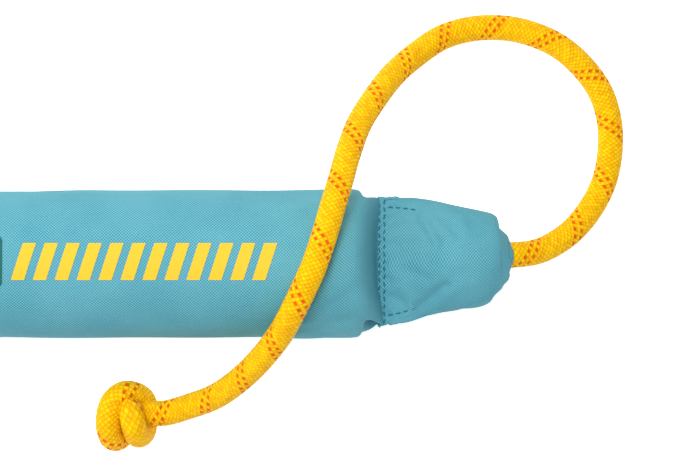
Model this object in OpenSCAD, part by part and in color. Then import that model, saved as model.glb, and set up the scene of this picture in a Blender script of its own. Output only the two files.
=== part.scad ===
// Retrieving bumper: a foam cylinder in a woven cover, with a rope held in a sewn pocket at one end.
// It lies on its side on z = 0. +X runs along the barrel to the rope end, +Z is up.
// The origin is under the middle of the cover, from the far tab's edge to the pocket's mouth.

/* [Barrel] */
// Outside diameter of the covered barrel
barrel_d = 63.5; // [50:0.5:80]
// Length of the foam core
foam_length = 212; // [190:1:230]
// Thickness of the woven cover
cover_t = 1.2; // [0.8:0.1:2]
// Radius of the rounded end corners
corner_r = 9; // [6:0.5:11]
// Depth of the flat that the barrel lies on
flat_depth = 0.4; // [0.2:0.1:1]

/* [Closed ends] */
// Distance from the foam's end to the line where the cover is sewn flat
neck_length = 6.5; // [5:0.5:10]
// Width of the cover where it is sewn flat
closure_w = 56; // [48:1:60]
// Thickness of the folded layers at a closure
closure_t = 3.2; // [2.4:0.1:5]
// Length of the far end's tab past its closure
tab_length = 17.7; // [10:0.1:22]
// Width of the doubled hem on the far tab
hem_w = 7; // [4:0.5:9]

/* [Rope pocket] */
// Length along X from the closure to the pocket's mouth
pocket_reach = 56.3; // [50:0.1:62]
// Height that the mouth hangs below the closure
pocket_drop = 9.3; // [6:0.1:11]
// Width of the pocket over the knot
bulge_w = 42; // [38:1:46]
// Height of the pocket over the knot
bulge_h = 31; // [29:1:34]
// Outside diameter of the mouth
mouth_d = 17; // [16:0.5:20]

/* [Rope] */
// Diameter of the rope
rope_d = 11; // [10:0.5:12]
// Thickness of the rope's braided sheath
sheath_t = 1.6; // [1:0.1:2.5]
// Sides of the rope's tube
rope_sides = 12; // [8:2:16]
// Rings of the tube between one route point and the next
rings_per_span = 2; // [1:1:2]

/* [End knot] */
// Length of the knot along the rope
knot_l = 22; // [20:0.5:26]
// Width of the knot across the rope
knot_w = 31; // [28:0.5:34]
// Height of the knot
knot_h = 23; // [20:0.5:26]

/* [Stitching] */
// Distance from one stitch to the next
stitch_pitch = 3.2; // [2.6:0.1:5]
// Length of a stitch
stitch_l = 2.2; // [1.5:0.1:2.4]
// Thickness of the thread
thread_t = 0.6; // [0.4:0.1:1]

/* [Print] */
// Length of the printed row of bars
print_l = 110; // [60:1:112]
// Height of the printed bars
print_h = 15.4; // [10:0.1:20]
// Number of bars
print_bars_n = 12; // [6:1:16]
// Sideways lean of each bar
print_lean = 5; // [0:0.5:7]
// Side of the square badge
badge_side = 22.5; // [16:0.5:26]
// Width of the badge's border
badge_border_w = 1.5; // [1:0.1:3]

/* [Hidden] */

$fn = 96;
fine = 32;
eps = 0.05;

fabric = [0.40, 0.69, 0.75];
fabric_dark = [0.20, 0.56, 0.64];
thread = [0.36, 0.66, 0.72];
rope_yellow = [0.99, 0.75, 0.06];
print_yellow = [0.97, 0.88, 0.30];
mint = [0.55, 0.83, 0.70];
dark_green = [0.10, 0.28, 0.22];
foam_white = [0.93, 0.92, 0.88];

barrel_r = barrel_d / 2;
axis_z = barrel_r - flat_depth;
pocket_droop = atan(pocket_drop / pocket_reach);
rim_reach = mouth_d / 2 * sin(pocket_droop);
total_l = tab_length + 2 * neck_length + foam_length + pocket_reach + rim_reach;
tab_end_x = -total_l / 2;
far_closure_x = tab_end_x + tab_length;
foam_start_x = far_closure_x + neck_length;
foam_end_x = foam_start_x + foam_length;
closure_x = foam_end_x + neck_length;
foam_gap = 0.1;

// The felled seam runs along the underside, on the side away from the rope loop.
seam_angle = -35;
seam_arc = 18;
seam_depth = 0.9;
seam_thread_h = 0.3;
seam_row_arc = 5.5;

// A closure is a flat band with a row of stitches on each side of its middle.
band_w = 3;
band_row = 0.8;
closure_y = 0.8;

// The pocket hangs from the closure, and its mouth leans towards the rope loop.
pocket_yaw = 2.5;
pocket_l = sqrt(pocket_reach * pocket_reach + pocket_drop * pocket_drop);
pocket_start = band_w / 2 + 0.2;
bulge_at = 0.55 * pocket_l;
shoulder_at = 0.79 * pocket_l;
pocket_t = 1.2;
mouth_hem_l = 5;
mouth_hem_t = 1.1;
side_row_start = 3;
side_row_l = 13;
side_row_inset = 4.5;
thread_proud = 0.3;

inner_knot_l = 26;
inner_knot_d = 25;
inner_knot_corner = 7;
inner_knot_at = 0.665 * pocket_l;
inner_tail_l = 7;
end_tail_l = 3;

// Points along the middle of the rope, from the inner knot, out of the mouth, round the loop on the
// ground, over the barrel and down to the end knot.
rope_route = [
    [143, 3, 23], [149, 3.5, 22], [158, 4.5, 19], [166, 7.5, 16], [175.5, 14, 12], [184, 24, 8],
    [190, 36, 6], [192.5, 49.5, 5.5], [192, 62.5, 5.5], [188, 75, 5.5], [180, 86, 5.5],
    [170, 94.5, 5.5], [158, 100, 5.5], [145.5, 102.5, 6], [132, 102, 7], [119, 98, 10.5],
    [108, 90.5, 16.5], [98, 81.5, 25], [90, 71, 34.5], [83, 59.5, 44], [78.5, 47.5, 52.5],
    [75, 35, 59.5], [71.5, 23, 65], [68, 11, 68], [64.5, 0.5, 69], [61.5, -6.5, 68.5],
    [56, -18, 65], [50, -29, 57], [42, -39.5, 48], [32.5, -49, 38], [21.5, -57, 28], [9, -62, 20],
    [-1, -65, 16], [-7.5, -66, 14.5]
];
knot_centre = [-18.5, -66.5, knot_h / 2];
end_tail_y = -4;
end_tail_z = 7;
print_t = 0.2;
bar_share = 0.6;
print_centre_x = -7;
print_centre_y = 1;
badge_centre_x = -77.5;
badge_corner = 2;

// ---- points along a smooth curve through the route ----

function clamp_index(i) = max(0, min(len(rope_route) - 1, i));

function spline(a, b, c, d, t) =
    0.5 * (2 * b + (c - a) * t + (2 * a - 5 * b + 4 * c - d) * t * t + (3 * b - a - 3 * c + d) * t * t * t);

function above_ground(p) = [p.x, p.y, max(p.z, rope_d / 2)];

function route_at(s) =
    let(i = min(floor(s), len(rope_route) - 2), before = rope_route[clamp_index(i - 1)])
    let(after = rope_route[clamp_index(i + 2)])
    above_ground(spline(before, rope_route[i], rope_route[i + 1], after, s - i));

function unit(v) = v / norm(v);

rope_rings = (len(rope_route) - 1) * rings_per_span;
rope_points = [for (k = [0 : rope_rings]) route_at(k / rings_per_span)];
rope_steps = [for (k = [0 : rope_rings])
    unit(rope_points[min(k + 1, rope_rings)] - rope_points[max(k - 1, 0)])];

// The rope never runs straight up, so a level side vector serves every ring.
function ring(k, r) =
    let(along = rope_steps[k], side = unit(cross([0, 0, 1], along)), over = cross(along, side))
    [for (j = [0 : rope_sides - 1])
        let(turn = 360 * (j + 0.5) / rope_sides) rope_points[k] + r * (cos(turn) * side + sin(turn) * over)];

function rings(r) = [for (k = [0 : rope_rings]) each ring(k, r)];

// The two triangles of a four-cornered patch, turned over when flip is true.
function patch(a, b, c, d, flip) = flip ? [[a, c, b], [a, d, c]] : [[a, b, c], [a, c, d]];

// The tube wall whose first point is number first.
function wall(first, flip) = [for (k = [0 : rope_rings - 1], j = [0 : rope_sides - 1])
    let(a = first + k * rope_sides, b = a + rope_sides, next = (j + 1) % rope_sides)
    each patch(a + j, b + j, b + next, a + next, flip)];

// The flat ring that joins the outer wall to the inner one at the tube's end whose points start at first.
function rim(first, inner, flip) = [for (j = [0 : rope_sides - 1])
    let(next = (j + 1) % rope_sides)
    each patch(first + j, first + next, inner + first + next, inner + first + j, flip)];

// ---- shared shapes ----

// Moves a shape drawn round the Z axis onto the barrel's axis, starting at x.
module on_barrel(x) {
    translate([x, 0, axis_z]) rotate([0, 90, 0]) children();
}

// Half outline of a cylinder with rounded end corners.
module rounded_half(r, l, corner) {
    translate([0, corner]) square([r, l - 2 * corner]);
    square([r - corner, l]);
    translate([r - corner, corner]) circle(corner);
    translate([r - corner, l - corner]) circle(corner);
}

module rounded_rod(r, l, corner) {
    rotate_extrude() intersection() {
        rounded_half(r, l, corner);
        square([r, l]);
    }
}

// Everything above the ground.
module above_ground_space() {
    translate([-2 * total_l, -total_l, 0]) cube([4 * total_l, 2 * total_l, total_l]);
}

// The strip of the barrel's skin under the felled seam, from one radius to another.
module skin_sector(inner_r, outer_r, arc) {
    on_barrel(foam_start_x + corner_r) rotate([0, 0, seam_angle - arc / 2])
        rotate_extrude(angle = arc) translate([inner_r, 0])
            square([outer_r - inner_r, foam_length - 2 * corner_r]);
}

// The fabric between the foam's end at x and the closure. side is 1 or -1.
module neck(x, side) {
    hull() {
        translate([x, 0, axis_z]) rotate([0, 90, 0])
            cylinder(r = barrel_r - corner_r, h = 2 * eps, center = true, $fn = fine);
        translate([x + side * (neck_length - band_w / 2), closure_y, axis_z])
            cube([2 * eps, closure_w, closure_t], center = true);
    }
}

// The flat sewn layers from one x to another.
module layers(from_x, to_x, t) {
    translate([from_x, closure_y - closure_w / 2, axis_z - t / 2]) cube([to_x - from_x, closure_w, t]);
}

// A row of stitches across X, centred on the origin and standing on z = 0.
module cross_row(w) {
    count = floor(w / stitch_pitch);
    for (i = [0 : count - 1])
        translate([0, (i - (count - 1) / 2) * stitch_pitch, thread_t / 2])
            cube([thread_t, stitch_l, thread_t], center = true);
}

// A row of stitches across the upper and lower faces of sewn layers of thickness t.
module through_row(x, t) {
    for (turn = [0, 180])
        translate([x, closure_y, axis_z]) rotate([turn, 0, 0]) translate([0, 0, t / 2])
            cross_row(closure_w - 2);
}

// Places a shape drawn along X on the pocket's own slanting line.
module on_pocket(at = 0) {
    translate([closure_x, closure_y, axis_z])
        rotate([0, pocket_droop, pocket_yaw]) translate([at, 0, 0]) children();
}

// A flat oval slice across the pocket.
module slice(at, w, h) {
    translate([at, 0, 0]) rotate([0, 90, 0])
        linear_extrude(2 * eps, center = true) scale([h / w, 1]) circle(d = w, $fn = fine);
}

// The pocket's form, drawn smaller by the inset for its inside.
module pocket_form(inset) {
    cut = 2 * inset;
    hull() {
        translate([pocket_start, 0, 0])
            cube([2 * eps, closure_w - 2 - cut, max(closure_t - cut, eps)], center = true);
        slice(bulge_at, bulge_w + 2 - cut, bulge_h - 3 - cut);
        slice(shoulder_at, bulge_w - cut, bulge_h - cut);
        slice(pocket_l - mouth_hem_l, mouth_d + 9 - cut, mouth_d + 5 - cut);
        slice(pocket_l - eps, mouth_d - cut, mouth_d - cut);
    }
}

// Blocks where the side rows of stitches pass through the pocket, wider by a gap all round.
module side_blocks(gap) {
    count = floor(side_row_l / stitch_pitch);
    for (side = [1, -1], i = [0 : count - 1])
        translate([side_row_start + (i + 0.5) * stitch_pitch, side * (closure_w / 2 - side_row_inset), 0])
            cube([stitch_l + 2 * gap, thread_t + 2 * gap, bulge_h], center = true);
}

// The half of the pocket's wall above or below its middle. side is 1 or -1.
module pocket_panel(side) {
    color(fabric) on_pocket() difference() {
        pocket_form(0);
        pocket_form(pocket_t);
        translate([pocket_l - mouth_hem_l, 0, 0]) rotate([0, 90, 0])
            cylinder(d = mouth_d - 2 * pocket_t, h = 2 * mouth_hem_l);
        side_blocks(eps);
        translate([-pocket_l, -pocket_l, side > 0 ? -2 * pocket_l : 0])
            cube([3 * pocket_l, 2 * pocket_l, 2 * pocket_l]);
    }
}

// A thin printed layer on the top of the barrel, in the outline of the children.
module on_top_skin() {
    intersection() {
        on_barrel(tab_end_x) difference() {
            cylinder(r = barrel_r + print_t, h = total_l);
            translate([0, 0, -1]) cylinder(r = barrel_r, h = total_l + 2);
        }
        translate([0, 0, axis_z]) linear_extrude(barrel_d) children();
    }
}

module rounded_square(side, corner) {
    for (swap = [0, 90])
        rotate(swap) square([side, side - 2 * corner], center = true);
    for (x = [1, -1], y = [1, -1])
        translate([x, y] * (side / 2 - corner)) circle(corner, $fn = fine);
}

// ---- sub-parts ----

module foam_core() {
    color(foam_white) intersection() {
        on_barrel(foam_start_x + cover_t + foam_gap) rounded_rod(
            barrel_r - cover_t - foam_gap, foam_length - 2 * (cover_t + foam_gap), corner_r - cover_t
        );
        translate([0, 0, cover_t + foam_gap]) above_ground_space();
    }
}

module cover() {
    color(fabric) difference() {
        intersection() {
            union() {
                on_barrel(foam_start_x) rounded_rod(barrel_r, foam_length, corner_r);
                neck(foam_start_x, -1);
                neck(foam_end_x, 1);
                layers(closure_x - band_w / 2, closure_x + band_w / 2, closure_t);
                layers(tab_end_x + hem_w, far_closure_x + band_w / 2, closure_t);
            }
            above_ground_space();
        }
        intersection() {
            on_barrel(foam_start_x + cover_t) rounded_rod(
                barrel_r - cover_t, foam_length - 2 * cover_t, corner_r - cover_t
            );
            translate([0, 0, cover_t]) above_ground_space();
        }
        skin_sector(barrel_r - seam_depth, barrel_r + 1, seam_arc);
    }
}

module cover_seam() {
    color(fabric_dark) skin_sector(barrel_r - seam_depth, barrel_r - seam_thread_h, seam_arc);
}

module seam_stitches() {
    count = floor((foam_length - 2 * corner_r) / stitch_pitch);
    color(thread) for (row = [1, -1], i = [0 : count - 1])
        on_barrel(foam_start_x + corner_r + (i + 0.5) * stitch_pitch)
            rotate([0, 0, seam_angle + row * seam_row_arc]) translate([barrel_r - seam_thread_h / 2, 0, 0])
                cube([seam_thread_h, thread_t, stitch_l], center = true);
}

module rope_end_stitches() {
    color(thread) for (row = [-band_row, band_row])
        through_row(closure_x + row, closure_t);
}

module far_end_hem() {
    color(fabric) layers(tab_end_x, tab_end_x + hem_w, closure_t + 1);
}

module far_end_stitches() {
    color(thread) {
        for (row = [-band_row, band_row])
            through_row(far_closure_x + row, closure_t);
        through_row(tab_end_x + hem_w - band_row, closure_t + 1);
    }
}

module pocket_top() {
    pocket_panel(1);
}

module pocket_bottom() {
    pocket_panel(-1);
}

module pocket_mouth_hem() {
    outer_d = mouth_d - 2 * pocket_t - 2 * eps;
    color(fabric_dark) on_pocket(pocket_l - mouth_hem_l) rotate([0, 90, 0]) difference() {
        cylinder(d = outer_d, h = mouth_hem_l);
        translate([0, 0, -1]) cylinder(d = outer_d - 2 * mouth_hem_t, h = mouth_hem_l + 2);
    }
}

module pocket_side_stitches() {
    color(thread) on_pocket() intersection() {
        side_blocks(0);
        pocket_form(-thread_proud);
    }
}

module inner_knot() {
    color(rope_yellow) on_pocket(inner_knot_at - inner_knot_l / 2) rotate([0, 90, 0])
        rounded_rod(inner_knot_d / 2, inner_knot_l, inner_knot_corner);
}

module inner_knot_tail() {
    color(rope_yellow) on_pocket(inner_knot_at - inner_knot_l / 2 - inner_tail_l) rotate([0, 90, 0])
        cylinder(d = rope_d, h = inner_tail_l);
}

module rope_sheath() {
    ring_points = (rope_rings + 1) * rope_sides;
    last_ring = rope_rings * rope_sides;
    color(rope_yellow) polyhedron(
        concat(rings(rope_d / 2), rings(rope_d / 2 - sheath_t)),
        concat(
            wall(0, false), wall(ring_points, true),
            rim(0, ring_points, false), rim(last_ring, ring_points, true)
        )
    );
}

module rope_core() {
    last_ring = rope_rings * rope_sides;
    color(foam_white) polyhedron(
        rings(rope_d / 2 - sheath_t - eps),
        concat(
            wall(0, false),
            [[for (j = [0 : rope_sides - 1]) j]],
            [[for (j = [rope_sides - 1 : -1 : 0]) last_ring + j]]
        )
    );
}

module end_knot() {
    color(rope_yellow) hull() for (side = [1, -1], turn = [0 : 45 : 315])
        translate(knot_centre + [
            side * (knot_l - rope_d) / 2, cos(turn) * (knot_w - rope_d) / 2, sin(turn) * (knot_h - rope_d) / 2
        ])
            sphere(d = rope_d, $fn = fine);
}

module end_knot_tail() {
    end = [knot_centre.x - knot_l / 2 - end_tail_l, knot_centre.y + end_tail_y, end_tail_z];
    color(rope_yellow) translate(end) rotate([0, 90, 0]) cylinder(d = rope_d, h = end_tail_l);
}

module print_bars() {
    pitch = print_l / print_bars_n;
    half_w = pitch * bar_share / 2;
    half_h = print_h / 2;
    lean = print_lean / 2;
    color(print_yellow) on_top_skin() translate([print_centre_x, print_centre_y])
        for (i = [0 : print_bars_n - 1])
            translate([(i - (print_bars_n - 1) / 2) * pitch, 0]) polygon([
                [-half_w - lean, -half_h], [half_w - lean, -half_h],
                [half_w + lean, half_h], [-half_w + lean, half_h]
            ]);
}

module badge() {
    inner = badge_side - 2 * badge_border_w;
    color(mint) on_top_skin() translate([badge_centre_x, print_centre_y])
        rounded_square(inner, badge_corner);
}

module badge_border() {
    inner = badge_side - 2 * badge_border_w;
    color(dark_green) on_top_skin() translate([badge_centre_x, print_centre_y]) difference() {
        rounded_square(badge_side, badge_corner + badge_border_w);
        rounded_square(inner, badge_corner);
    }
}

foam_core();
cover();
cover_seam();
seam_stitches();
rope_end_stitches();
far_end_hem();
far_end_stitches();
pocket_top();
pocket_bottom();
pocket_mouth_hem();
pocket_side_stitches();
inner_knot();
inner_knot_tail();
rope_sheath();
rope_core();
end_knot();
end_knot_tail();
print_bars();
badge();
badge_border();
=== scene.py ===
"""The looks of the retrieving bumper: woven cover, rope pocket, stitches, print and braided rope.

Points and sizes are in millimetres until a mesh is made, and meshes are in metres.
"""

import math

import bpy
import numpy as np
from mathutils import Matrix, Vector


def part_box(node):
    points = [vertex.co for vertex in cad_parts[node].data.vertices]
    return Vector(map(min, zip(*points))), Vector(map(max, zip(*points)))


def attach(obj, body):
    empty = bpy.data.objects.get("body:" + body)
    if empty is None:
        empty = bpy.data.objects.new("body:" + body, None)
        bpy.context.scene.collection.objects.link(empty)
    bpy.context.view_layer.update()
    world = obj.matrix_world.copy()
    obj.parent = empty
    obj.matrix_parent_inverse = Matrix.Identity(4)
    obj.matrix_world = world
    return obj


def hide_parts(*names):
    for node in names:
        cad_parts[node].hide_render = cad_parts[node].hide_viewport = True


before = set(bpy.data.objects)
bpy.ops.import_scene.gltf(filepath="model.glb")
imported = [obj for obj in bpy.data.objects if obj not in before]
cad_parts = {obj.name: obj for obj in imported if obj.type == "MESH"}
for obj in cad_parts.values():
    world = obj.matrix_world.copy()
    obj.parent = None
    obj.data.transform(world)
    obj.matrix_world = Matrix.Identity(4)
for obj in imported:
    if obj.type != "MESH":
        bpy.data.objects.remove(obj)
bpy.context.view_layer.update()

MM = 0.001
BODY = "root"


def node_box(node):
    """The lowest and highest corners of a CAD node, in millimetres."""
    low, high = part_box(node)
    return np.array(low) / MM, np.array(high) / MM


# ---- driving sizes, from the frame ----

cover_low, cover_high = node_box("cover")
foam_low, foam_high = node_box("foam_core")
closure_low, closure_high = node_box("rope_end_stitches")
hem_low, hem_high = node_box("far_end_hem")
print_low, print_high = node_box("print_bars")
badge_low, badge_high = node_box("badge_border")
seam_low, seam_high = node_box("cover_seam")

BARREL_R = (cover_high[1] - cover_low[1]) / 2
AXIS_Z = cover_high[2] - BARREL_R
# The foam lies this far inside the cover's plain form.
FOAM_INSET = 1.3
FOAM_START, FOAM_END = foam_low[0] - FOAM_INSET, foam_high[0] + FOAM_INSET
# The far closure is this far past the foam's end.
NECK = 6.5
CLOSURE_X = (closure_low[0] + closure_high[0]) / 2
FAR_CLOSURE_X = FOAM_START - NECK
CLOSURE_W = hem_high[1] - hem_low[1]
CLOSURE_Y = (hem_high[1] + hem_low[1]) / 2
ROPE_R = 5.5

# Points along the middle of the rope: from the inner knot, out of the mouth, round the loop on the
# ground, over the barrel and down to the end knot.
ROPE_ROUTE = np.array([
    [143, 3, 23], [149, 3.5, 22], [158, 4.5, 19], [166, 7.5, 16], [175.5, 14, 12], [184, 24, 8],
    [190, 36, 6], [192.5, 49.5, 5.5], [192, 62.5, 5.5], [188, 75, 5.5], [180, 86, 5.5],
    [170, 94.5, 5.5], [158, 100, 5.5], [145.5, 102.5, 6], [132, 102, 7], [119, 98, 10.5],
    [108, 90.5, 16.5], [98, 81.5, 25], [90, 71, 34.5], [83, 59.5, 44], [78.5, 47.5, 52.5],
    [75, 35, 59.5], [71.5, 23, 65], [68, 11, 68], [64.5, 0.5, 69], [61.5, -6.5, 68.5],
    [56, -18, 65], [50, -29, 57], [42, -39.5, 48], [32.5, -49, 38], [21.5, -57, 28], [9, -62, 20],
    [-1, -65, 16], [-7.5, -66, 14.5],
])


# ---- curves ----


def smooth_curve(*pairs):
    """A function through (x, y) pairs that never overshoots them."""
    xs, ys = np.array(pairs, float).T
    steps = np.diff(ys) / np.diff(xs)
    slopes = np.concatenate([[steps[0]], np.zeros(len(xs) - 2), [steps[-1]]])
    for i in range(1, len(xs) - 1):
        if steps[i - 1] * steps[i] > 0:
            slopes[i] = 2 * steps[i - 1] * steps[i] / (steps[i - 1] + steps[i])

    def at(x):
        x = np.clip(np.asarray(x, float), xs[0], xs[-1])
        i = np.clip(np.searchsorted(xs, x) - 1, 0, len(xs) - 2)
        width = xs[i + 1] - xs[i]
        t = (x - xs[i]) / width
        return (
            ys[i] * (1 + 2 * t) * (1 - t) ** 2
            + slopes[i] * width * t * (1 - t) ** 2
            + ys[i + 1] * t * t * (3 - 2 * t)
            + slopes[i + 1] * width * t * t * (t - 1)
        )

    return at


def resample(points, step):
    """The same open line with its points a step apart."""
    gaps = np.linalg.norm(np.diff(points, axis=0), axis=1)
    along = np.concatenate([[0], np.cumsum(gaps)])
    wanted = np.linspace(0, along[-1], int(round(along[-1] / step)) + 1)
    return np.stack([np.interp(wanted, along, points[:, k]) for k in range(3)], axis=1)


def through(points, step):
    """A smooth line through the points, as a Catmull-Rom curve."""
    padded = np.concatenate([[2 * points[0] - points[1]], points, [2 * points[-1] - points[-2]]])
    t = np.linspace(0, 1, 24, endpoint=False)[:, None]
    parts = []
    for a, b, c, d in zip(padded, padded[1:], padded[2:], padded[3:]):
        square = 2 * a - 5 * b + 4 * c - d
        cube = 3 * b - a - 3 * c + d
        parts.append(0.5 * (2 * b + (c - a) * t + square * t**2 + cube * t**3))
    return resample(np.concatenate(parts + [points[-1:]]), step)


def frames(line):
    """Unit vectors beside and over a line, turning as little as they can."""
    along = np.gradient(line, axis=0)
    along /= np.linalg.norm(along, axis=1, keepdims=True)
    beside = np.empty_like(along)
    side = np.cross([0, 0, 1.0], along[0])
    for k, direction in enumerate(along):
        side = side - direction * (side @ direction)
        side /= np.linalg.norm(side)
        beside[k] = side
    return beside, np.cross(along, beside)


# ---- meshes ----


def add_mesh(name, points, faces, uvs=None):
    """A smooth-shaded piece on the CAD body. uvs has one pair for each corner of each face."""
    mesh = bpy.data.meshes.new(name)
    mesh.from_pydata((np.asarray(points, float) * MM).tolist(), [], faces)
    if uvs is not None:
        layer = mesh.uv_layers.new(name="cloth")
        layer.data.foreach_set("uv", np.asarray(uvs, float).ravel())
    mesh.shade_smooth()
    piece = bpy.data.objects.new(name, mesh)
    bpy.context.scene.collection.objects.link(piece)
    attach(piece, BODY)
    return piece


def grid_faces(rows, cols, closed, first=0):
    """Quads over a grid of points. closed joins the last column to the first."""
    i, j = np.meshgrid(np.arange(rows - 1), np.arange(cols if closed else cols - 1), indexing="ij")
    after = (j + 1) % cols
    quads = np.stack([i * cols + j, i * cols + after, (i + 1) * cols + after, (i + 1) * cols + j], axis=-1)
    corners = np.stack([i, j, i, j + 1, i + 1, j + 1, i + 1, j], axis=-1).reshape(-1, 4, 2)
    return (quads.reshape(-1, 4) + first).tolist(), corners


def add_grid(name, points, uv, closed=True):
    """A mesh over points[row, column], with uv[row, column] in millimetres of cloth."""
    rows, cols = points.shape[:2]
    faces, corners = grid_faces(rows, cols, closed)
    return add_mesh(name, points.reshape(-1, 3), faces, uv[corners[..., 0], corners[..., 1]])


def thicken(piece, thickness):
    """Give a sheet its thickness, inwards from its outer face."""
    solid = piece.modifiers.new("cloth_thickness", "SOLIDIFY")
    solid.thickness = thickness * MM
    solid.offset = -1.0
    apply_modifiers(piece)


def apply_modifiers(piece):
    """Make the shape that the modifiers give the piece's own mesh."""
    shaped = piece.evaluated_get(bpy.context.evaluated_depsgraph_get())
    mesh = bpy.data.meshes.new_from_object(shaped)
    piece.modifiers.clear()
    piece.data = mesh


# ---- camera ----


def add_camera():
    """A camera straight above. Its distance sets how much wider the rope looks over the barrel."""
    height = 1.3
    view_width = 0.3069
    middle_of_view = (0.07895, 0.01208)
    data = bpy.data.cameras.new("camera")
    data.sensor_width = 36
    data.lens = data.sensor_width * height / view_width
    data.clip_start = 0.1
    camera = bpy.data.objects.new("camera", data)
    camera.location = (*middle_of_view, height)
    bpy.context.scene.collection.objects.link(camera)
    bpy.context.scene.camera = camera


# ---- rope ----

# Bundles of yarn wound each way round the braid, and the length of rope in which one goes round once.
BUNDLES = 13
LAY = 24.6
# Distance between the points along the rope's line, and the number of flat sides of its tube.
ROPE_STEP = 1.0
ROPE_SIDES = 40
# The cut end is melted to a round edge over this length.
MELTED = 2.5

# Points along an overhand knot drawn tight: X and Y from its middle, and the height. The rope comes in
# from +X through the middle, goes up round the left side, over the top and down the right side, under
# itself, up and over itself, then down through the first turn to its cut tail.
KNOT = np.array([
    [9, 1.2, 12.6], [4, -1.2, 12.8], [-0.5, -5, 10.2], [-3.4, -9.4, 8.4], [-6, -9, 13], [-7.2, -4.4, 17.2],
    [-7, 1.2, 18.6], [-5, 6.8, 18], [-0.7, 10, 15.6], [4.2, 9.2, 11], [7.4, 5.8, 7], [7.8, -0.6, 4.6],
    [7, -6.8, 7.6], [5.2, -7.8, 14.6], [4, -3.5, 20.6], [2.8, 1.8, 20.8], [0.6, 4.2, 14.8],
    [-2.6, 3.2, 8.4], [-7, 1.6, 5.6],
])
END_KNOT_AT = np.array([-18.2, -66.6, 1])
INNER_KNOT_AT = np.array([126.5, 1.6, 19.9])
# The knot in the pocket is drawn tighter and pressed flatter, to stay clear of the cloth.
INNER_KNOT_SIZE = np.array([0.86, 0.86, 0.62])


def rings(turn, beside, over):
    """Unit circles at the turns given, one for each pair of vectors beside and over."""
    return np.cos(turn)[None, :, None] * beside[:, None] + np.sin(turn)[None, :, None] * over[:, None]


def tube(name, line, length, beside, over, cut_end):
    """A rope along a line. Its UV is the turn round the rope and the millimetres along it."""
    sides = ROPE_SIDES
    ring = rings(np.arange(sides) / sides * 2 * math.pi, beside, over)
    radius = np.full(len(line), ROPE_R)
    if cut_end:
        left = (length[-1] - length) / MELTED
        radius = ROPE_R * np.sqrt(np.clip(1 - np.clip(1 - left, 0, 1) ** 2, 0.0001, 1))
    points = line[:, None] + ring * radius[:, None, None]
    share = np.arange(sides + 1) / sides
    uv = np.stack(np.broadcast_arrays(share[None, :], length[:, None]), axis=-1)
    faces, corners = grid_faces(len(line), sides, True)
    faces = [face[::-1] for face in faces]
    corners = corners[:, ::-1]
    ends = [list(range(sides)), [len(points) * sides - 1 - k for k in range(sides)]]
    uvs = np.concatenate([uv[corners[..., 0], corners[..., 1]].reshape(-1, 2), np.zeros((2 * sides, 2))])
    return add_mesh(name, points.reshape(-1, 3), faces + ends, uvs)


def make_ropes():
    """The rope, the knot at its end and the knot inside the pocket, on one line with one braid."""
    knot = KNOT + END_KNOT_AT
    hidden = INNER_KNOT_SIZE * KNOT[::-1] + INNER_KNOT_AT
    line = through(np.concatenate([hidden, ROPE_ROUTE[:-1], knot]), ROPE_STEP)
    line[:, 2] = np.maximum(line[:, 2], ROPE_R)
    beside, over = frames(line)
    length = np.arange(len(line)) * ROPE_STEP
    start = int(np.argmin(np.linalg.norm(line - ROPE_ROUTE[0], axis=1)))
    end = int(np.argmin(np.linalg.norm(line - ROPE_ROUTE[-2], axis=1)))
    tip = len(line) - 1
    spans = ("inner_knot_rope", 0, start), ("rope", start, end), ("end_knot_rope", end, tip)
    pieces = []
    for name, first, last in spans:
        part = slice(first, last + 1)
        from_mouth = length[part] - length[start]
        pieces.append(tube(name, line[part], from_mouth, beside[part], over[part], cut_end=last == tip))
    return pieces, line[start:end + 1]


# ---- the cover's form ----

COLUMNS = 192
CLOTH_ROUND = 2 * math.pi * BARREL_R
GUSSET = (CLOTH_ROUND / 2 - CLOSURE_W) / 2
GROUND_GAP = 0.05
# The cloth stays just outside the foam.
OVER_FOAM_R = BARREL_R - FOAM_INSET + 0.35
# The turn against the barrel starts this far before the foam's end.
TWIST_REACH = 25

# The middle and the radius of the barrel along X, a little uneven because the foam is soft.
middle_y = smooth_curve((-130, -0.3), (-71, -0.6), (-29, -0.2), (40, -0.3), (80, -0.1))
radius_at = smooth_curve((-126, 31.5), (-71, 31.1), (-29, 31.65), (40, 31.5), (80, 31.75), (95, 31.75))
# How round the cover still is at a distance past the foam's end, from a full circle to flat.
roundness = smooth_curve(
    (-11, 1), (-8, 0.992), (-6, 0.973), (-4.5, 0.94), (-3, 0.88), (-1.3, 0.765), (0, 0.62), (1.8, 0.39),
    (3.3, 0.17), (4.1, 0.04), (4.7, 0),
)
# The sides fold in between the layers, so they leave the circle later and faster.
side_roundness = smooth_curve(
    (-7, 1), (-4, 0.985), (-2.8, 0.95), (-1.8, 0.86), (-0.8, 0.65), (0.4, 0.4), (2, 0.2), (4, 0.07),
    (5.6, 0),
)
# Shares of the way round the cover, from +Y over the top, and how far its flat end is turned there.
FOLD_SHARES = [0, 0.11, 0.39, 0.5, 0.61, 0.89, 1]
TWIST_DEGREES = [8, 8, 10, 14, 20, 12, 8]


def bump(along, across, start, end, width):
    """1 on the line from start to end, falling to 0 over the width round it."""
    (x0, y0), (x1, y1) = start, end
    length_2 = (x1 - x0) ** 2 + (y1 - y0) ** 2
    t = np.clip(((along - x0) * (x1 - x0) + (across - y0) * (y1 - y0)) / length_2, 0, 1)
    gap_2 = (along - x0 - t * (x1 - x0)) ** 2 + (across - y0 - t * (y1 - y0)) ** 2
    return np.exp(-gap_2 / width**2)


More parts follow.
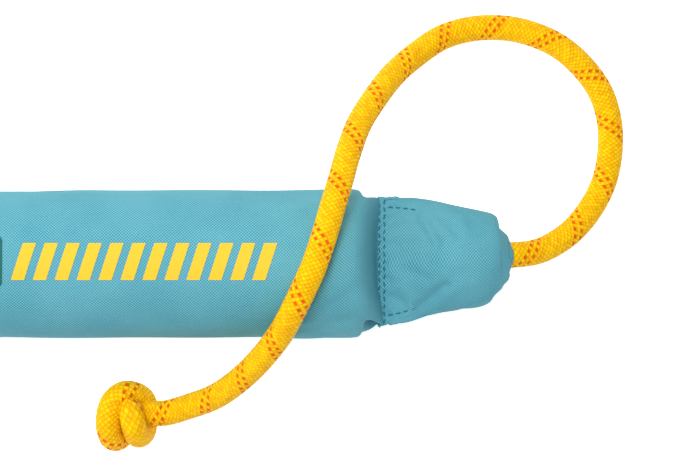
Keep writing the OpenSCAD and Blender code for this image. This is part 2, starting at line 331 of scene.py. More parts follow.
# Folds in the cloth of the barrel: start and end as (X, distance round from the top), depth and width.
BARREL_FOLDS = [
    ((84, 14), (62, 24), -0.7, 3.0),
    ((84, -14), (60, -26), -0.8, 3.0),
    ((82, -30), (56, -34), -0.8, 3.5),
    ((82, 28), (58, 38), -0.6, 3.5),
    ((80, 2), (66, 4), 0.4, 4.0),
    ((78, -38), (50, -52), 0.5, 4.0),
]
# The far end has the same folds, turned about the barrel's middle and a little shallower.
MIDDLE_X_TWICE = -40
FAR_FOLDS = 0.8


def barrel_relief(x, share):
    """How far the cloth stands off the barrel's plain form."""
    round_from_top = (0.25 - share) * CLOTH_ROUND
    relief = 0.12 * np.sin(x / 9.5 + 4 * np.pi * share) + 0.10 * np.sin(x / 23.0 - 6 * np.pi * share)
    for start, end, depth, width in BARREL_FOLDS:
        relief = relief + depth * bump(x, round_from_top, start, end, width)
        far_start = (MIDDLE_X_TWICE - start[0], -start[1])
        far_end = (MIDDLE_X_TWICE - end[0], -end[1])
        relief = relief + FAR_FOLDS * depth * bump(x, round_from_top, far_start, far_end, width)
    return relief


def folded_flat(share):
    """Y and Z of the cover where it is sewn flat, with its sides folded in between the layers."""
    half = CLOSURE_W / 2
    side = half - GUSSET
    y = np.interp(share, FOLD_SHARES, [side, half, -half, -side, -half, half, side])
    z = np.interp(share, FOLD_SHARES, [0, 1.2, 1.2, 0, -1.2, -1.2, 0])
    for _ in range(2):
        y = (np.roll(y, 1) + y + np.roll(y, -1)) / 3
        z = (np.roll(z, 1) + z + np.roll(z, -1)) / 3
    return y, z


def cover_points(xs):
    """Points[row, column] of the cover, closed flat at both ends."""
    share = np.arange(COLUMNS) / COLUMNS
    flat_y, flat_z = folded_flat(share)
    side = np.maximum(np.cos(4 * np.pi * share), 0) ** 3
    # The upper corners of the barrel's end stay full for longer.
    late = 2.6 * np.exp(-((share - 0.37) / 0.05) ** 2) + 1.2 * np.exp(-((share - 0.13) / 0.05) ** 2)
    turned_by = np.radians(np.interp(share, FOLD_SHARES, TWIST_DEGREES))
    rows = []
    for x in xs:
        past = max(x - FOAM_END, FOAM_START - x)
        full = roundness(past - late)
        flat = (1 - full) * (1 - side) + (1 - float(side_roundness(past))) * side
        turned = np.clip((past + TWIST_REACH) / TWIST_REACH, 0, 1) * np.sign(x)
        turn = 2 * np.pi * share - turned_by * turned
        radius = float(radius_at(x)) + barrel_relief(x, share)
        centre = float(middle_y(x))
        stretch = 1 + 0.10 * full * (1 - full)
        y = (1 - flat) * (centre + radius * np.cos(turn)) + flat * (CLOSURE_Y + flat_y)
        y = y * stretch
        z = AXIS_Z + (1 - flat) * radius * np.sin(turn) + flat * flat_z
        from_axis = np.hypot(y, z - AXIS_Z)
        pushed = 1 + np.clip((-4 - past) / 4, 0, 1) * np.maximum(OVER_FOAM_R / from_axis - 1, 0)
        y = y * pushed
        z = AXIS_Z + (z - AXIS_Z) * pushed
        rows.append(np.stack([np.full(COLUMNS, x), y, np.maximum(z, GROUND_GAP)], axis=1))
    return np.array(rows)


def with_cloth_uv(points, cloth_round, closed=True):
    """Millimetres of cloth along the rows and round the columns, for points[row, column]."""
    cols = points.shape[1]
    steps = np.linalg.norm(np.diff(points, axis=0), axis=2).mean(axis=1)
    along = np.concatenate([[0], np.cumsum(steps)])
    around = np.arange(cols + 1 if closed else cols) / (cols if closed else cols - 1) * cloth_round
    return np.stack(np.broadcast_arrays(along[:, None], around[None, :]), axis=-1)


def make_cover():
    """The barrel's cover, with more rows of points where its ends close."""
    xs = np.concatenate([
        np.linspace(FAR_CLOSURE_X - 2, FOAM_START + 7, 46)[:-1],
        np.linspace(FOAM_START + 7, FOAM_END - 30, 60)[:-1],
        np.linspace(FOAM_END - 30, FOAM_END - 7, 24)[:-1],
        np.linspace(FOAM_END - 7, CLOSURE_X + 1, 46),
    ])
    points = cover_points(xs)
    return add_grid("cover_cloth", points, with_cloth_uv(points, CLOTH_ROUND))


def on_barrel(x, y, lift):
    """The point of the barrel's upper side over (x, y), raised by lift."""
    centre = middle_y(x)
    reach = radius_at(x)
    share = np.arccos(np.clip((y - centre) / reach, -1, 1)) / (2 * np.pi)
    radius = reach + barrel_relief(x, share) + lift
    return np.stack([x, y, AXIS_Z + np.sqrt(np.maximum(radius**2 - (y - centre) ** 2, 0))], axis=-1)


# ---- print ----


INK = 0.1


def make_patches(name, outlines, lift=0.14):
    """Thin printed patches on the barrel. Each is a grid of (x, y) points."""
    points, faces, uvs, first = [], [], [], 0
    for grid in outlines:
        placed = on_barrel(grid[..., 0], grid[..., 1], lift)
        rows, cols = placed.shape[:2]
        patch_faces, corners = grid_faces(rows, cols, False, first)
        points.append(placed.reshape(-1, 3))
        faces += patch_faces
        uvs.append(grid[corners[..., 0], corners[..., 1]].reshape(-1, 2))
        first += rows * cols
    patches = add_mesh(name, np.concatenate(points), faces, np.concatenate(uvs))
    thicken(patches, INK)
    patches.data.set_sharp_from_angle(angle=math.radians(40))
    return patches


def make_bars():
    """A row of plain slanted bars, evenly spaced over the length of the print."""
    low, high = print_low[:2], print_high[:2]
    span = high[0] - low[0]
    count = 12
    lean = 5.0
    share = 0.6
    pitch = (span - lean - share * span / count) / (count - 1)
    width = share * pitch
    up, across = np.meshgrid(np.linspace(0, 1, 12), np.linspace(0, 1, 5))
    outlines = []
    for i in range(count):
        x = low[0] + i * pitch + across * width + up * lean
        outlines.append(np.stack([x, low[1] + up * (high[1] - low[1])], axis=-1))
    return make_patches("print_stripes", outlines)


def rounded_squares(centre, sizes, count=96):
    """A grid of points on nested squares. Each size is the half width and the corner's radius."""
    turn = np.arange(count + 1) / count * 2 * np.pi
    c, s = np.cos(turn), np.sin(turn)
    squares = []
    for reach, bend in sizes:
        inner = reach - bend
        x = np.clip(c * 2 * reach, -inner, inner) + bend * c
        y = np.clip(s * 2 * reach, -inner, inner) + bend * s
        squares.append(np.stack([centre[0] + x, centre[1] + y], axis=-1))
    return np.array(squares)


def make_badge():
    """A plain square with rounded corners, and the rim round it."""
    centre = (badge_low[:2] + badge_high[:2]) / 2
    half = (badge_high[0] - badge_low[0]) / 2
    border = 1.5
    corner = 2.0
    inner = half - border
    fill = rounded_squares(centre, [(inner * k / 12, corner * k / 12) for k in range(12, -1, -1)])
    steps = [border * k / 3 for k in range(4)]
    edge = rounded_squares(centre, [(half - step, corner + border - step) for step in steps])
    badge = make_patches("badge_square", [fill[::-1]])
    rim = make_patches("badge_rim", [edge[::-1]], lift=0.15)
    return badge, rim


# ---- stitches ----


# Distance from one stitch to the next and the length of thread that shows.
PITCH = 3.2
STITCH = 2.2
# How deep under the cloth a stitch ends, and how far it arches over its ends.
STITCH_DEPTH = 0.25
STITCH_RISE = 0.42


def add_stitches(name, stitches, thread=0.32):
    """Threads that leave the cloth, arch over it and go back in. Each is (start, end, up)."""
    sides = 8
    bends = 7
    points, faces = [], []
    share = np.linspace(0, 1, bends)
    arch = np.sin(np.pi * share) ** 0.6 * STITCH_RISE - STITCH_DEPTH
    turn = np.arange(sides) / sides * 2 * np.pi
    for start, end, up in stitches:
        start, end, up = (np.asarray(v, float) for v in (start, end, up))
        up = up / np.linalg.norm(up)
        line = start + (end - start) * share[:, None] + up * arch[:, None]
        along = np.gradient(line, axis=0)
        along /= np.linalg.norm(along, axis=1, keepdims=True)
        side = np.cross(up, along)
        side /= np.linalg.norm(side, axis=1, keepdims=True)
        over = np.cross(along, side)
        width = thread * np.sqrt(np.clip(1 - (2 * share - 1) ** 6, 0.15, 1))
        first = len(points) * sides * bends
        points.append((line[:, None] + rings(turn, side, over) * width[:, None, None]).reshape(-1, 3))
        quads, _ = grid_faces(bends, sides, True, first)
        faces += [quad[::-1] for quad in quads]
        faces.append([first + k for k in range(sides)])
        faces.append([first + sides * bends - 1 - k for k in range(sides)])
    return add_mesh(name, np.concatenate(points), faces)


def row_between(start, end, up, shift):
    """Stitches along the straight line from start to end."""
    start, end = np.asarray(start, float), np.asarray(end, float)
    span = np.linalg.norm(end - start)
    along = (end - start) / span
    middles = np.arange(PITCH / 2 + shift, span - PITCH / 3, PITCH)
    return [(start + along * (m - STITCH / 2), start + along * (m + STITCH / 2), up) for m in middles]


# ---- pocket ----

POCKET_COLUMNS = 144
# The length of cloth round the pocket, and its thickness.
POCKET_ROUND = 150.0
POCKET_CLOTH = 0.6

# The pocket's two edges, its thickness and the height of its middle along X.
pocket_top_edge = smooth_curve(
    (90.8, 28.6), (97, 28.3), (103, 27.8), (109, 26.8), (113, 26), (118, 24.8), (123, 23.7), (129, 22.6),
    (134, 21.8), (138, 21), (140.5, 19.5), (142, 17), (144, 14), (146, 11.5), (147.8, 9.3), (148.8, 6.5),
)
pocket_bottom_edge = smooth_curve(
    (90.8, -27.2), (97, -26.3), (103, -24.9), (109, -22.8), (113, -21.5), (118, -20.2), (123, -19.6),
    (129, -19), (134, -18), (137.5, -16.4), (140, -13.8), (142, -11.5), (144, -9.2), (146, -6.8),
    (147.8, -3.5), (148.8, -0.3),
)
pocket_thickness = smooth_curve(
    (90.8, 3.4), (94, 3.8), (97, 5), (103, 9), (109, 15), (115, 21.5), (121, 26.5), (127, 29.5),
    (133, 30.5), (138, 30), (141, 28.6), (142.5, 25), (145, 20.5), (148.8, 14.5),
)
pocket_middle_z = smooth_curve((90.8, AXIS_Z), (100, AXIS_Z - 0.8), (125, 27), (148.8, 22.2))

# Folds in the pocket's upper cloth: start and end as (X, Y), depth and width. The lower cloth has the
# same ones, mirrored.
POCKET_FOLDS = [
    ((109, 19), (115, 9), -1.5, 2.6),
    ((115, 9), (112, 1), -1.0, 3.0),
    ((103, -3), (112, -6), -0.9, 2.2),
    ((108, -18), (119, -9), -1.9, 2.2),
    ((115, -17), (125, -9), 0.7, 2.6),
    ((98, 8), (104, -2), -0.4, 3.5),
    ((104, 20), (109, 13), 0.6, 2.6),
    ((101, -10), (106, -17), 0.6, 2.6),
    ((110, -20), (115, -15), -0.6, 2.0),
    ((125, 20), (134, 12), -0.3, 3.0),
]


def pocket_points(xs):
    """Points[row, column] of the pocket, from the closure to the rim of the mouth."""
    turn = np.arange(POCKET_COLUMNS) / POCKET_COLUMNS * 2 * np.pi
    c, s = np.cos(turn), np.sin(turn)
    rows = []
    for x in xs:
        top, bottom = float(pocket_top_edge(x)), float(pocket_bottom_edge(x))
        flatness = float(np.interp(x, [92, 112, 126, 146], [1.9, 1.5, 1.05, 1.0]))
        squareness = float(np.interp(x, [92, 126, 140, 148], [0.8, 0.85, 0.95, 1.0]))
        y = (top + bottom) / 2 + (top - bottom) / 2 * np.sign(c) * np.abs(c) ** squareness
        lift = np.sign(s) * np.abs(s) ** flatness
        brim = 1.4 * np.clip((112 - x) / 12, 0, 1)
        half = float(pocket_thickness(x)) / 2
        middle = float(pocket_middle_z(x))
        z = middle + lift * (half - brim) + brim * np.sign(s) * np.minimum(np.abs(s) * 6, 1)
        fade = np.clip((x - 94) / 4, 0, 1) * np.clip((147 - x) / 4, 0, 1)
        for start, end, depth, width in POCKET_FOLDS:
            z = z + fade * depth * bump(x, y, start, end, width) * np.clip(s * 3, 0, 1)
            z = z - fade * depth * bump(x, -2 - y, start, end, width) * np.clip(-s * 3, 0, 1)
        rows.append(np.stack([np.full(POCKET_COLUMNS, x), y, z], axis=1))
    return np.array(rows)


SIMULATED_MOMENTS = 14


def settled(points, held_rows, growth, most):
    """The points after a cloth simulation in which the cloth is slightly too large for its outline.

    It runs ten times as large as life, which suits the solver. No point moves further than most.
    """
    rows, cols = points.shape[:2]
    large = 10 * MM
    mesh = bpy.data.meshes.new("settling_cloth")
    mesh.from_pydata((points.reshape(-1, 3) * large).tolist(), [], grid_faces(rows, cols, True)[0])
    cloth = bpy.data.objects.new("settling_cloth", mesh)
    bpy.context.scene.collection.objects.link(cloth)
    held = cloth.vertex_groups.new(name="held")
    held.add([r * cols + c for r in held_rows for c in range(cols)], 1.0, "REPLACE")
    settings = cloth.modifiers.new("cloth", "CLOTH").settings
    settings.quality = 5
    settings.mass = 0.05
    settings.tension_stiffness = settings.compression_stiffness = 12
    settings.shear_stiffness = 4
    settings.bending_stiffness = 2.0
    settings.tension_damping = settings.compression_damping = 15
    settings.shrink_min = settings.shrink_max = -growth
    settings.vertex_group_mass = "held"
    settings.effector_weights.gravity = 0
    for moment in range(1, SIMULATED_MOMENTS + 1):
        bpy.context.scene.frame_set(moment)
    shaped = cloth.evaluated_get(bpy.context.evaluated_depsgraph_get())
    flat = np.empty(rows * cols * 3)
    shaped.data.vertices.foreach_get("co", flat)
    bpy.data.objects.remove(cloth)
    bpy.context.scene.frame_set(1)
    shift = flat.reshape(rows, cols, 3) / large - points
    length = np.linalg.norm(shift, axis=2, keepdims=True)
    return points + shift * most * np.tanh(length / most) / np.maximum(length, 1e-6)


# The hem at the mouth turns in: how far each ring of it goes on along X, and its size.
MOUTH_HEM = [(0.35, 0.97), (0.5, 0.90), (0.2, 0.83), (-0.8, 0.80), (-2.5, 0.78), (-6, 0.78)]


def make_pocket():
    """The pocket round the inner knot, held at its closure and its mouth while its cloth settles."""
    xs = np.concatenate([np.linspace(90.8, 138, 80)[:-1], np.linspace(138, 148.6, 26)])
    at_closure = list(range(5))
    at_mouth = list(range(len(xs) - 4, len(xs)))
    outer = settled(pocket_points(xs), at_closure + at_mouth, growth=0.05, most=2.0)
    middle = outer[-1].mean(axis=0)
    turned_in = []
    for onward, size in MOUTH_HEM:
        ring = middle + (outer[-1] - middle) * size
        ring[:, 0] += onward
        turned_in.append(ring)
    points = np.concatenate([outer, np.array(turned_in)])
    pocket = add_grid("pocket_cloth", points, with_cloth_uv(points, POCKET_ROUND))
    thicken(pocket, POCKET_CLOTH)
    return pocket, outer


def pocket_stitch(outer, start, end, side):
    """A stitch from start to end, as (X, Y), on the pocket's upper or lower face."""
    half = POCKET_COLUMNS // 2
    face = (outer[:, 1:half] if side > 0 else outer[:, half + 1:]).reshape(-1, 3)
    ends = []
    for x, y in (start, end):
        nearest = np.argmin((face[:, 0] - x) ** 2 + (face[:, 1] - y) ** 2)
        ends.append((x, y, face[nearest, 2]))
    return ends[0], ends[1], (0, 0, side)


HEAVY_THREAD = 0.36


def make_rope_end_stitches(outer):
    """Two rows through all the layers, with each stitch a little askew."""
    stitches = []
    for side in (1, -1):
        for x, shift in ((91.5, 0.0), (93.6, PITCH / 2)):
            for y in np.arange(-27.6 + shift, 26.6, PITCH):
                sway = 0.25 * (-1) ** round(y / PITCH)
                stitches.append(pocket_stitch(outer, (x - sway, y), (x + sway, y + STITCH), side))
    return add_stitches("closure_stitching", stitches, HEAVY_THREAD)


def make_pocket_side_stitches(outer):
    """A short row of four stitches along each edge of the pocket, above and below."""
    stitches = []
    for edge, inset in ((pocket_top_edge, -4.4), (pocket_bottom_edge, 4.4)):
        for x in 95.2 + PITCH * np.arange(4):
            start = (x, float(edge(x)) + inset)
            end = (x + STITCH, float(edge(x + STITCH)) + inset)
            for side in (1, -1):
                stitches.append(pocket_stitch(outer, start, end, side))
    return add_stitches("pocket_side_stitching", stitches, HEAVY_THREAD)


# ---- far end ----

TAB_THICKNESS = 3.0
# The hem is this much thicker, and reaches its thickness over this much of X.
HEM_EXTRA = 1.1
HEM_SLOPE = 0.8
# The length of cloth round the tab.
TAB_ROUND = 118.0
# How square the tab's section is: 1 is an ellipse and 0 a rectangle.
TAB_SECTION = 0.35


def make_far_tab():
    """The flat tab past the far closure, with a doubled hem along its edge."""
    xs = np.linspace(FAR_CLOSURE_X + 1.5, hem_low[0], 40)
    turn = np.arange(128) / 128 * 2 * np.pi
    c, s = np.cos(turn), np.sin(turn)
    rows = []
    for x in xs:
        hem = np.clip((hem_high[0] - x) / HEM_SLOPE, 0, 1)
        half = (TAB_THICKNESS + HEM_EXTRA * hem) / 2
        wave = 0.35 * np.sin(x / 4) * np.clip((FAR_CLOSURE_X - x) / 6, 0, 1)
        y = CLOSURE_Y + CLOSURE_W / 2 * np.sign(c) * np.abs(c) ** TAB_SECTION
        z = AXIS_Z + half * np.sign(s) * np.abs(s) ** TAB_SECTION + wave * np.sin(y / 9)
        rows.append(np.stack([np.full(len(c), x), y, z], axis=1))
    last = rows[-1]
    middle = last.mean(axis=0)
    for onward, shrink in ((0.125, 0.97), (0.15, 0.6), (0.15, 0.05)):
        ring = middle + (last - middle) * (1, 1 - (1 - shrink) * 0.08, shrink)
        ring[:, 0] = last[:, 0] - onward
        rows.append(ring)
    points = np.array(rows)[::-1]
    return add_grid("far_tab", points, with_cloth_uv(points, TAB_ROUND))


def make_far_stitches():
    """Two rows through the closure and one through the hem, above and below."""
    on_tab = TAB_THICKNESS / 2
    on_hem = (TAB_THICKNESS + HEM_EXTRA) / 2
    places = [
        (FAR_CLOSURE_X + 1, 0.0, on_tab),
        (FAR_CLOSURE_X - 1, 1.4, on_tab),
        (hem_high[0] - 1, 0.7, on_hem),
    ]
    rows = []
    for side in (1, -1):
        for x, shift, half in places:
            z = AXIS_Z + side * half
            rows += row_between((x, -26, z), (x, 27.5, z), (0, 0, side), shift)
    return add_stitches("far_end_stitching", rows)


# ---- underside seam ----

SEAM_TURN = math.radians(235)
SEAM_W = 10.0
SEAM_CLOTH = 0.4
# Each row of stitches is this far round from the middle of the seam.
SEAM_ROW = 3.4


def skin_point(x, turn, lift):
    """The point of the barrel's skin at X and a turn round its axis, raised by lift."""
    share = turn / (2 * math.pi)
    radius = float(radius_at(x)) + float(barrel_relief(x, share)) + lift
    return np.array([x, float(middle_y(x)) + radius * math.cos(turn), AXIS_Z + radius * math.sin(turn)])


def make_seam():
    """A felled seam: a raised strip of folded cloth along the barrel."""
    xs = np.linspace(seam_low[0], seam_high[0], 110)
    across = np.linspace(-SEAM_W / 2, SEAM_W / 2, 15)
    lifts = 0.15 + 0.45 * np.clip((SEAM_W / 2 - np.abs(across)) / 0.7, 0, 1) ** 0.5
    rows = []
    for x in xs:
        rows.append([skin_point(x, SEAM_TURN + a / BARREL_R, lift) for a, lift in zip(across, lifts)])
    points = np.array(rows)
    seam = add_grid("felled_seam", points, with_cloth_uv(points, SEAM_W, closed=False), closed=False)
    thicken(seam, SEAM_CLOTH)
    return seam


def make_seam_stitches():
    """A row of stitches along each side of the seam."""
    stitches = []
    for side in (-1, 1):
        turn = SEAM_TURN + side * SEAM_ROW / BARREL_R
        up = (0, math.cos(turn), math.sin(turn))
        for x in np.arange(seam_low[0] + 1.5, seam_high[0] - 3, PITCH):
            stitches.append((skin_point(x, turn, 0.6), skin_point(x + STITCH, turn, 0.6), up))
    return add_stitches("seam_stitching", stitches)


# ---- materials ----


class Finish:
    """One material, made node by node. A method that works something out returns its socket."""

    def __init__(self, name, roughness, specular=0.25):
        self.material = bpy.data.materials.new(name)
        self.material.use_nodes = True
        self.tree = self.material.node_tree
        self.shader = self.tree.nodes["Principled BSDF"]
        self.shader.inputs["Roughness"].default_value = roughness
        self.shader.inputs["Specular IOR Level"].default_value = specular

    def feed(self, socket, value):
        """Link a socket to another, or set it to a plain value."""
        if isinstance(value, bpy.types.NodeSocket):
            self.tree.links.new(value, socket)
        else:
            socket.default_value = value

    def math(self, operation, *values):
        node = self.tree.nodes.new("ShaderNodeMath")
        node.operation = operation
        for socket, value in zip(node.inputs, values):
            self.feed(socket, value)
        return node.outputs[0]

    def cloth_uv(self):
        """The two directions of the cloth, or the turn and the length of the rope."""
        coordinates = self.tree.nodes.new("ShaderNodeUVMap")
        coordinates.uv_map = "cloth"
        split = self.tree.nodes.new("ShaderNodeSeparateXYZ")
        self.tree.links.new(coordinates.outputs[0], split.inputs[0])
        return split.outputs[0], split.outputs[1]

    def noise(self, scale, detail=2.0):
        """Noise over the object, scale features to the metre."""
        place = self.tree.nodes.new("ShaderNodeTexCoord")
        noise = self.tree.nodes.new("ShaderNodeTexNoise")
        noise.inputs["Scale"].default_value = scale
        noise.inputs["Detail"].default_value = detail
        self.tree.links.new(place.outputs["Object"], noise.inputs["Vector"])
        return noise.outputs[0]

    def uneven(self, first, second):
        """A fixed random number for each pair of whole numbers."""
        pair = self.tree.nodes.new("ShaderNodeCombineXYZ")
        self.feed(pair.inputs[0], first)
        self.feed(pair.inputs[1], second)
        node = self.tree.nodes.new("ShaderNodeTexWhiteNoise")
        self.tree.links.new(pair.outputs[0], node.inputs["Vector"])
        return node.outputs["Value"]

    def mix(self, share, first, second):
        """The first colour, with a share of the second."""
        node = self.tree.nodes.new("ShaderNodeMix")
        node.data_type = "RGBA"
        self.feed(node.inputs[0], share)
        self.feed(node.inputs[6], first)
        self.feed(node.inputs[7], second)
        return node.outputs[2]

    def bump(self, height, distance, strength):
        """Raise the surface by the height, at most the distance in millimetres."""
        node = self.tree.nodes.new("ShaderNodeBump")
        node.inputs["Strength"].default_value = strength
        node.inputs["Distance"].default_value = distance * MM
        self.feed(node.inputs["Height"], height)
        self.tree.links.new(node.outputs[0], self.shader.inputs["Normal"])

    def colour(self, value):
        self.feed(self.shader.inputs["Base Color"], value)


def shade(red, green, blue):
    """An opaque colour from screen values of 0 to 255."""
    def linear(value):
        value /= 255
        return value / 12.92 if value <= 0.04045 else ((value + 0.055) / 1.055) ** 2.4

    return (linear(red), linear(green), linear(blue), 1.0)


# The cloth's colour in shade and in light. Mixed by the weave, they paint highlight on the crowns of the
# yarns and shade between them.
CLOTH_SHADED = shade(0, 115, 137)
CLOTH_LIT = shade(114, 179, 192)
# The thread has the cloth's colour. Both of its tones are darkened as painted shade where the stitches
# sink into the cloth.
THREAD_SHADED_DARK = shade(10, 95, 120)
THREAD_SHADED_LIGHT = shade(35, 130, 155)
# Shaded and lit copies of the rope's yellow and of its orange tracer yarns.
ROPE_SHADED = shade(218, 118, 0)
ROPE_LIT = shade(255, 210, 4)
TRACER_SHADED = shade(190, 70, 0)
TRACER_LIT = shade(238, 100, 5)
PRINT_YELLOW = shade(240, 188, 14)
BADGE_MINT = shade(150, 215, 190)
BADGE_GREEN = shade(20, 90, 85)
FOAM_DARK = shade(222, 218, 205)
FOAM_LIGHT = shade(244, 242, 234)
# Distance from one yarn of the cloth to the next.
YARN = 0.67


def weave(finish):
    """Height of a plain weave: each yarn goes over one and under the next."""
    along, around = finish.cloth_uv()
    turn = math.pi / YARN
    warp = finish.math("SINE", finish.math("MULTIPLY", along, turn))
    weft = finish.math("SINE", finish.math("MULTIPLY", around, turn))
    return finish.math("MULTIPLY_ADD", finish.math("MULTIPLY", warp, weft), 0.5, 0.5)


def fabric_finish():
    """Woven cloth: a shaded and a lit copy of its colour, mixed by the weave's height as painted highlight
    on the crowns of its yarns and painted shade between them, with some fuzz and a little unevenness.
    """
    finish = Finish("woven_cloth", roughness=0.75, specular=0.12)
    height = weave(finish)
    fuzz = finish.noise(2600, 3.0)
    wide = finish.noise(45)
    # The weave's height lightens the crowns and darkens the hollows between the yarns: painted highlight
    # and painted shade. The noise adds uneven tone.
    share = finish.math("MULTIPLY_ADD", fuzz, 0.5, finish.math("MULTIPLY", height, 0.95))
    share = finish.math("MULTIPLY_ADD", wide, 0.3, finish.math("SUBTRACT", share, 0.3))
    finish.colour(finish.mix(share, CLOTH_SHADED, CLOTH_LIT))
    finish.bump(height, 0.12, 0.7)
    return finish.material


def ink_finish(name, ink):
    """Ink on the cloth, with the weave just showing in it."""
    finish = Finish(name, roughness=0.7, specular=0.1)
    height = weave(finish)
    # On the crowns of the weave the ink takes a little of the cloth's lit colour: the cloth showing
    # through, with its painted highlight.
    finish.colour(finish.mix(finish.math("MULTIPLY", height, 0.12), ink, CLOTH_LIT))
    finish.bump(height, 0.08, 0.6)
    return finish.material


def thread_finish():
    """Spun sewing thread, darker than the cloth by painted shade, with an uneven tone."""
    finish = Finish("sewing_thread", roughness=0.7)
    finish.shader.inputs["Sheen Weight"].default_value = 0.1
    finish.shader.inputs["Sheen Roughness"].default_value = 0.5
    finish.colour(finish.mix(finish.noise(3000), THREAD_SHADED_DARK, THREAD_SHADED_LIGHT))
    finish.bump(finish.noise(5000), 0.05, 0.6)
    return finish.material


def braid(finish):
    """Two sets of yarn bundles, wound opposite ways and crossing over and under.

    Returns the numbers of the two bundles, which is on top, and the place across and along it.
    """
    turn, along = finish.cloth_uv()
    lead = finish.math("DIVIDE", along, LAY)
    left = finish.math("MULTIPLY", finish.math("ADD", turn, lead), BUNDLES)
    right = finish.math("MULTIPLY", finish.math("SUBTRACT", turn, lead), BUNDLES)
    left_bundle = finish.math("FLOOR", left)
    right_bundle = finish.math("FLOOR", right)
    both = finish.math("ADD", left_bundle, right_bundle)
    on_top = finish.math("LESS_THAN", finish.math("FLOORED_MODULO", both, 2.0), 0.5)
    left_place = finish.math("SUBTRACT", left, left_bundle)
    right_place = finish.math("SUBTRACT", right, right_bundle)
    under = finish.math("SUBTRACT", 1.0, on_top)
    across = finish.math(
        "ADD", finish.math("MULTIPLY", on_top, left_place), finish.math("MULTIPLY", under, right_place)
    )
    length = finish.math(
        "ADD", finish.math("MULTIPLY", on_top, right_place), finish.math("MULTIPLY", under, left_place)
    )
    return left_bundle, right_bundle, on_top, across, length


def rope_finish():
    """The braided sheath: yellow bundles of yarn, two of them orange where they are on top."""
    finish = Finish("rope_braid", roughness=0.6, specular=0.08)
    left_bundle, right_bundle, on_top, across, length = braid(finish)
    crown = finish.math("SINE", finish.math("MULTIPLY", across, math.pi))
    arch = finish.math("SINE", finish.math("MULTIPLY", length, math.pi))
    height = finish.math("MULTIPLY", finish.math("POWER", crown, 0.7), finish.math("POWER", arch, 0.35))
    number = finish.math("FLOORED_MODULO", left_bundle, BUNDLES)
    first = finish.math("COMPARE", number, 0.0, 0.5)
    second = finish.math("COMPARE", number, 2.0, 0.5)
    tracer = finish.math("MULTIPLY", finish.math("ADD", first, second), on_top)
    tracer = finish.math("MULTIPLY", tracer, finish.math("GREATER_THAN", crown, 0.3))
    fuzz = finish.noise(1500, 3.0)
    odd = finish.uneven(number, right_bundle)
    yarns = finish.math("SINE", finish.math("MULTIPLY", across, 3 * math.pi))
    yarns = finish.math("MULTIPLY", finish.math("MULTIPLY", yarns, yarns), 0.2)
    # Lighter on the crowns of the bundles and of the yarns in them, darker in the grooves: painted
    # highlight and painted shade. The noise and the random number for each crossing add uneven tone.
    share = finish.math("MULTIPLY_ADD", height, 0.4, finish.math("MULTIPLY_ADD", fuzz, 0.45, yarns))
    share = finish.math("MULTIPLY_ADD", odd, 0.35, finish.math("SUBTRACT", share, 0.1))
    yellow = finish.mix(share, ROPE_SHADED, ROPE_LIT)
    orange = finish.mix(share, TRACER_SHADED, TRACER_LIT)
    finish.colour(finish.mix(tracer, yellow, orange))
    finish.bump(height, 0.4, 0.8)
    return finish.material


def foam_finish():
    """Off-white foam with a grain of small cells."""
    finish = Finish("closed_cell_foam", roughness=0.9)
    cells = finish.noise(900)
    finish.colour(finish.mix(cells, FOAM_DARK, FOAM_LIGHT))
    finish.bump(cells, 0.3, 0.5)
    return finish.material


def paint(material, *pieces):
    """Give the pieces this one material."""
    for piece in pieces:
        piece.data.materials.clear()
        piece.data.materials.append(material)


# ---- stage ----


SOFTBOX_W = 0.7
LIT_PLACE = (0.05, 0.0, 0.03)


def add_light(name, place, energy):
    """A square softbox at a place in metres, facing the bumper."""
    data = bpy.data.lights.new(name, "AREA")
    data.size = SOFTBOX_W
    data.energy = energy
    lamp = bpy.data.objects.new(name, data)
    lamp.location = place
    aim = np.array(LIT_PLACE) - np.array(place)
    lamp.rotation_euler = Vector(aim).to_track_quat("-Z", "Y").to_euler()
    bpy.context.scene.collection.objects.link(lamp)


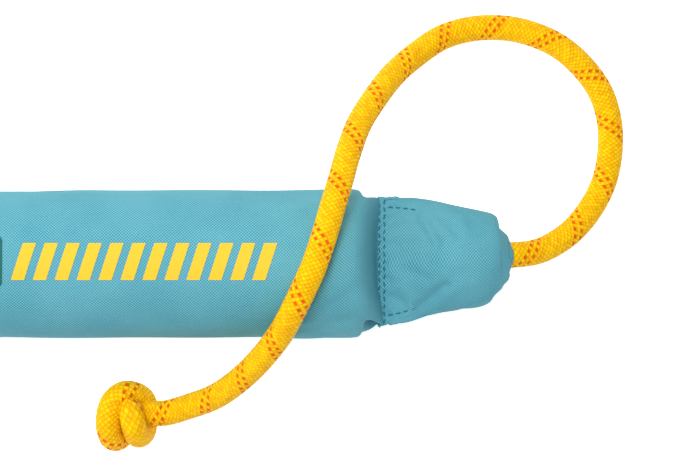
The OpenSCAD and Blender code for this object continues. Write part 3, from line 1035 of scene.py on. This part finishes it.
def add_floor():
    """A large pale floor just under the bumper, bright enough to stay plain."""
    reach = 3.0
    level = -0.0005
    mesh = bpy.data.meshes.new("floor")
    corners = [(x * reach, y * reach, level) for x, y in ((-1, -1), (1, -1), (1, 1), (-1, 1))]
    mesh.from_pydata(corners, [], [(0, 1, 2, 3)])
    floor = bpy.data.objects.new("floor", mesh)
    bpy.context.scene.collection.objects.link(floor)
    finish = Finish("pale_floor", roughness=0.9)
    finish.shader.inputs["Base Color"].default_value = (0.9, 0.9, 0.9, 1)
    finish.shader.inputs["Emission Color"].default_value = (1, 1, 1, 1)
    finish.shader.inputs["Emission Strength"].default_value = 0.65
    paint(finish.material, floor)


def add_world():
    """Even white light from all round."""
    world = bpy.data.worlds.new("studio")
    world.use_nodes = True
    colour, strength = world.node_tree.nodes["Background"].inputs[:2]
    colour.default_value = (1, 1, 1, 1)
    strength.default_value = 0.40
    bpy.context.scene.world = world


# ---- the assembly ----

add_camera()
(inner_knot, rope, end_knot), rope_line = make_ropes()
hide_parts("rope_sheath", "rope_core")
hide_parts("end_knot", "end_knot_tail")
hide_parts("inner_knot", "inner_knot_tail")
cover = make_cover()
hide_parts("cover")
pocket, pocket_outer = make_pocket()
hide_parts("pocket_top", "pocket_bottom", "pocket_mouth_hem")
tab = make_far_tab()
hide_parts("far_end_hem")
seam = make_seam()
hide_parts("cover_seam")
closure_stitches = make_rope_end_stitches(pocket_outer)
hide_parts("rope_end_stitches")
side_stitches = make_pocket_side_stitches(pocket_outer)
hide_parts("pocket_side_stitches")
far_stitches = make_far_stitches()
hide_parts("far_end_stitches")
seam_stitches = make_seam_stitches()
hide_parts("seam_stitches")
bars = make_bars()
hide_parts("print_bars")
badge, badge_rim = make_badge()
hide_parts("badge")
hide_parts("badge_border")

paint(rope_finish(), rope, end_knot, inner_knot)
paint(fabric_finish(), cover, pocket, tab, seam)
paint(thread_finish(), closure_stitches, side_stitches, far_stitches, seam_stitches)
paint(ink_finish("printed_ink", PRINT_YELLOW), bars)
paint(ink_finish("badge_ink", BADGE_MINT), badge)
paint(ink_finish("badge_edge_ink", BADGE_GREEN), badge_rim)
paint(foam_finish(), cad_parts["foam_core"])

add_floor()
add_world()
add_light("overhead_softbox", (-0.15, 0.25, 1.35), energy=17)
add_light("side_softbox", (-1.1, 0.35, 0.75), energy=6)
bpy.context.scene.view_settings.view_transform = "Standard"
